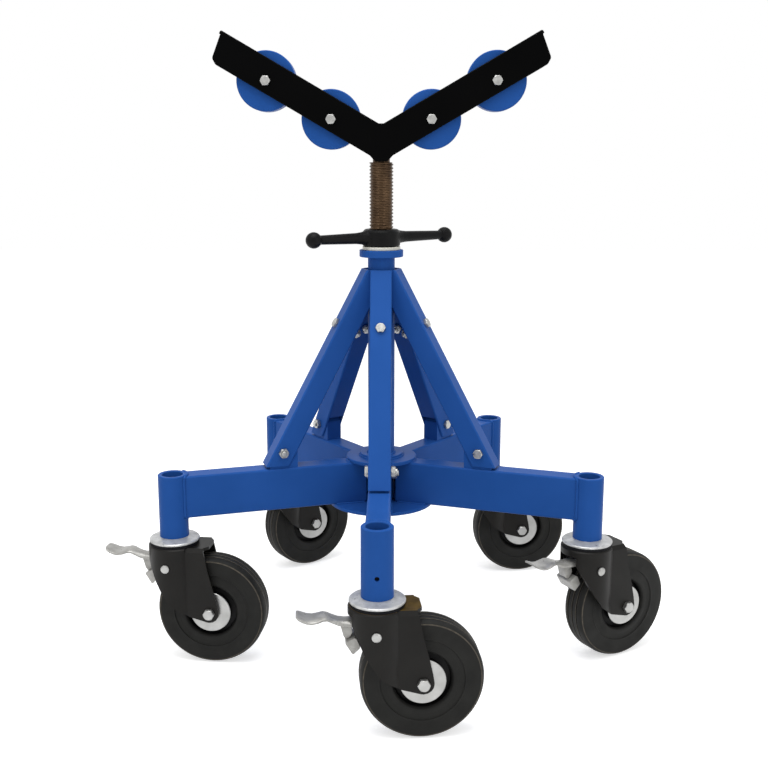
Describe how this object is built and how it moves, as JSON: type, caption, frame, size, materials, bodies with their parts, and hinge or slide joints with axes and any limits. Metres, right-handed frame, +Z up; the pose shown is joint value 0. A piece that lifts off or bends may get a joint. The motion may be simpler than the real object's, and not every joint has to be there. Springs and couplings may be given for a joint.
{
  "type": "pipe stand",
  "caption": "Five-legged rolling pipe stand with a roller V head on a lifting screw, braced tube legs and braked swivel casters.",
  "frame": {"origin": "middle of the stand's footprint, on the floor under the tyres", "axes": "+Z up, -Y toward the front leg, X along the line between the two arms of the V"},
  "size_m": [1.0585, 0.9004, 1.1531],
  "materials": {
    "blue_frame": "gloss",
    "black_paint": "satin",
    "black_iron": "satin",
    "dark_steel": "satin",
    "zinc": "satin",
    "dark_fork": "satin",
    "washer_plastic": "matte",
    "tyre_rubber": "matte",
    "core_plastic": "satin"
  },
  "bodies": {
    "base": {"column_tube": "blue_frame", "top_collar": "blue_frame", "hub_bottom_plate": "blue_frame", "hub_top_plate": "blue_frame", "hub_collar": "blue_frame", "frame_lugs": "blue_frame", "leg_front": "blue_frame", "brace_front": "blue_frame", "caster_socket_front": "blue_frame", "leg_right": "blue_frame", "brace_right": "blue_frame", "caster_socket_right": "blue_frame", "leg_rear_right": "blue_frame", "brace_rear_right": "blue_frame", "caster_socket_rear_right": "blue_frame", "leg_rear_left": "blue_frame", "brace_rear_left": "blue_frame", "caster_socket_rear_left": "blue_frame", "leg_left": "blue_frame", "brace_left": "blue_frame", "caster_socket_left": "blue_frame", "frame_bolts": "zinc", "caster_stems": "zinc"},
    "washer": {"thrust_washer": "washer_plastic"},
    "nut": {"handle_nut": "black_iron"},
    "head": {"lift_screw": "dark_steel", "head_front_plate": "black_paint", "head_rear_plate": "black_paint", "head_block": "black_paint", "tip_bars": "black_paint", "roller_axles": "zinc"},
    "roller_left_outer": {"roller_left_outer": "blue_frame"},
    "roller_left_inner": {"roller_left_inner": "blue_frame"},
    "roller_right_inner": {"roller_right_inner": "blue_frame"},
    "roller_right_outer": {"roller_right_outer": "blue_frame"},
    "caster_front": {"fork_front": "dark_fork", "axle_set_front": "zinc"},
    "wheel_front": {"tyre_front": "tyre_rubber", "wheel_core_front": "core_plastic"},
    "brake_front": {"brake_front": "zinc"},
    "caster_right": {"fork_right": "dark_fork", "axle_set_right": "zinc"},
    "wheel_right": {"tyre_right": "tyre_rubber", "wheel_core_right": "core_plastic"},
    "brake_right": {"brake_right": "zinc"},
    "caster_rear_right": {"fork_rear_right": "dark_fork", "axle_set_rear_right": "zinc"},
    "wheel_rear_right": {"tyre_rear_right": "tyre_rubber", "wheel_core_rear_right": "core_plastic"},
    "brake_rear_right": {"brake_rear_right": "zinc"},
    "caster_rear_left": {"fork_rear_left": "dark_fork", "axle_set_rear_left": "zinc"},
    "wheel_rear_left": {"tyre_rear_left": "tyre_rubber", "wheel_core_rear_left": "core_plastic"},
    "brake_rear_left": {"brake_rear_left": "zinc"},
    "caster_left": {"fork_left": "dark_fork", "axle_set_left": "zinc"},
    "wheel_left": {"tyre_left": "tyre_rubber", "wheel_core_left": "core_plastic"},
    "brake_left": {"brake_left": "zinc"}
  },
  "joints": [
    {"name": "head_swivel", "type": "hinge", "parent": "base", "child": "washer", "pos_m": [-0.0135, 0.0057, 0.76], "axis": [0, 0, 1], "continuous": true},
    {"name": "handle_turn", "type": "hinge", "parent": "washer", "child": "nut", "pos_m": [-0.0135, 0.0057, 0.7825], "axis": [0, 0, 1], "range_deg": [-10771.6, 6519.6]},
    {"name": "screw_lift", "type": "slide", "parent": "washer", "child": "head", "axis": [0, 0, 1], "range_m": [-0.115, 0.19]},
    {"name": "roller_left_outer_spin", "type": "hinge", "parent": "head", "child": "roller_left_outer", "pos_m": [-0.2224, 0.0057, 1.06537], "axis": [0, 1, 0], "continuous": true},
    {"name": "roller_left_inner_spin", "type": "hinge", "parent": "head", "child": "roller_left_inner", "pos_m": [-0.105, 0.0057, 0.99759], "axis": [0, 1, 0], "continuous": true},
    {"name": "roller_right_inner_spin", "type": "hinge", "parent": "head", "child": "roller_right_inner", "pos_m": [0.078, 0.0057, 0.99759], "axis": [0, 1, 0], "continuous": true},
    {"name": "roller_right_outer_spin", "type": "hinge", "parent": "head", "child": "roller_right_outer", "pos_m": [0.1954, 0.0057, 1.06537], "axis": [0, 1, 0], "continuous": true},
    {"name": "swivel_front", "type": "hinge", "parent": "base", "child": "caster_front", "pos_m": [-0.0135, -0.39735, 0.226], "axis": [0, 0, 1], "continuous": true},
    {"name": "wheel_spin_front", "type": "hinge", "parent": "caster_front", "child": "wheel_front", "pos_m": [0.05786, -0.39035, 0.1016], "axis": [0.0976, -0.9952, 0], "continuous": true},
    {"name": "brake_press_front", "type": "hinge", "parent": "caster_front", "child": "brake_front", "pos_m": [-0.01848, -0.39784, 0.19], "axis": [0.0976, -0.9952, 0], "range_deg": [0, 6.6]},
    {"name": "swivel_right", "type": "hinge", "parent": "base", "child": "caster_right", "pos_m": [0.36982, -0.11885, 0.226], "axis": [0, 0, 1], "continuous": true},
    {"name": "wheel_spin_right", "type": "hinge", "parent": "caster_right", "child": "wheel_right", "pos_m": [0.4321, -0.08332, 0.1016], "axis": [0.4955, -0.8686, 0], "continuous": true},
    {"name": "brake_press_right", "type": "hinge", "parent": "caster_right", "child": "brake_right", "pos_m": [0.36548, -0.12133, 0.19], "axis": [0.4955, -0.8686, 0], "range_deg": [0, 6.6]},
    {"name": "swivel_rear_right", "type": "hinge", "parent": "base", "child": "caster_rear_right", "pos_m": [0.22341, 0.33177, 0.226], "axis": [0, 0, 1], "continuous": true},
    {"name": "wheel_spin_rear_right", "type": "hinge", "parent": "caster_rear_right", "child": "wheel_rear_right", "pos_m": [0.29432, 0.34237, 0.1016], "axis": [0.1478, -0.989, 0], "continuous": true},
    {"name": "brake_press_rear_right", "type": "hinge", "parent": "caster_rear_right", "child": "brake_rear_right", "pos_m": [0.21846, 0.33104, 0.19], "axis": [0.1478, -0.989, 0], "range_deg": [0, 6.6]},
    {"name": "swivel_rear_left", "type": "hinge", "parent": "base", "child": "caster_rear_left", "pos_m": [-0.25041, 0.33177, 0.226], "axis": [0, 0, 1], "continuous": true},
    {"name": "wheel_spin_rear_left", "type": "hinge", "parent": "caster_rear_left", "child": "wheel_rear_left", "pos_m": [-0.19233, 0.37382, 0.1016], "axis": [0.5864, -0.81, 0], "continuous": true},
    {"name": "brake_press_rear_left", "type": "hinge", "parent": "caster_rear_left", "child": "brake_rear_left", "pos_m": [-0.25446, 0.32884, 0.19], "axis": [0.5864, -0.81, 0], "range_deg": [0, 6.6]},
    {"name": "swivel_left", "type": "hinge", "parent": "base", "child": "caster_left", "pos_m": [-0.39682, -0.11885, 0.226], "axis": [0, 0, 1], "continuous": true},
    {"name": "wheel_spin_left", "type": "hinge", "parent": "caster_left", "child": "wheel_left", "pos_m": [-0.32548, -0.12597, 0.1016], "axis": [-0.0993, -0.9951, 0], "continuous": true},
    {"name": "brake_press_left", "type": "hinge", "parent": "caster_left", "child": "brake_left", "pos_m": [-0.4018, -0.11835, 0.19], "axis": [-0.0993, -0.9951, 0], "range_deg": [0, 6.6]}
  ],
  "couplings": [
    {"joint": "screw_lift", "follows": "handle_turn", "m_per_rad": -0.0010106}
  ]
}
